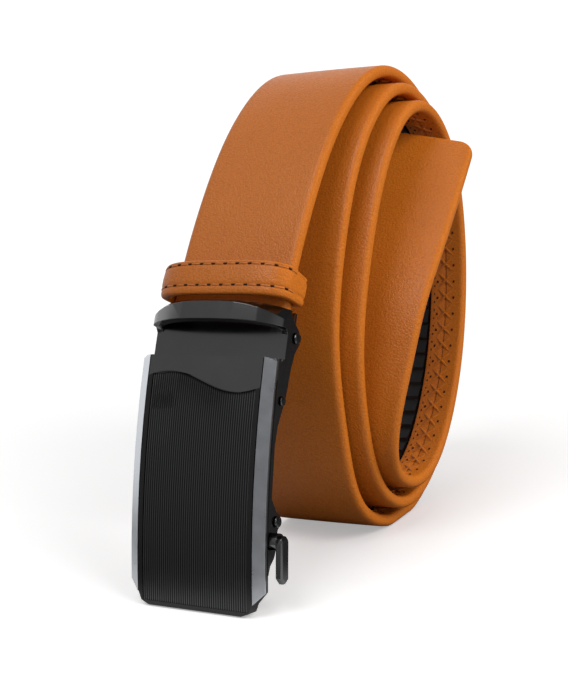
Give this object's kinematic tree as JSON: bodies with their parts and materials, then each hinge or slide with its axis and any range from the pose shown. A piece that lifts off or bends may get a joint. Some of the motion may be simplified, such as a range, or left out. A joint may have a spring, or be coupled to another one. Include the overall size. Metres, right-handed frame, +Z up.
{
  "type": "ratchet belt",
  "caption": "Leather strap coiled on its rim, with a keeper loop and an automatic ratchet buckle whose free end passes behind a ribbed face plate.",
  "frame": {"origin": "on the floor, in the flat stretch under the coil's outermost turn and in the middle of the strap's width at the buckle", "axes": "+Z up, +X across the strap to the right as seen from the buckle's side, -Y the buckle's side"},
  "size_m": [0.0572, 0.1396, 0.1313],
  "materials": {
    "leather": "smooth tan leather with a fine grain and a soft sheen",
    "track_plastic": "black moulded plastic",
    "black_plated_metal": "satin black plated die casting",
    "satin_silver_metal": "satin silver"
  },
  "bodies": {
    "root": {"strap": "leather", "keeper_loop": "leather", "ratchet_track": "track_plastic", "face_plate": "black_plated_metal", "buckle_housing": "black_plated_metal", "clamp_flap": "black_plated_metal", "clamp_pin": "black_plated_metal", "housing_rivet_left": "black_plated_metal", "housing_rivet_right": "black_plated_metal", "pawl": "black_plated_metal", "pawl_pin": "black_plated_metal", "side_trim_left": "satin_silver_metal", "side_trim_right": "satin_silver_metal"},
    "lever": {"release_lever": "black_plated_metal"}
  },
  "joints": [
    {"name": "lever_turn", "type": "hinge", "parent": "root", "child": "lever", "pos_m": [0.0205, -0.07964, 0.0177], "axis": [1, 0, 0], "range_deg": [0, 35], "stiffness_Nm_per_rad": 0.02, "springref_deg": -17.19}
  ]
}
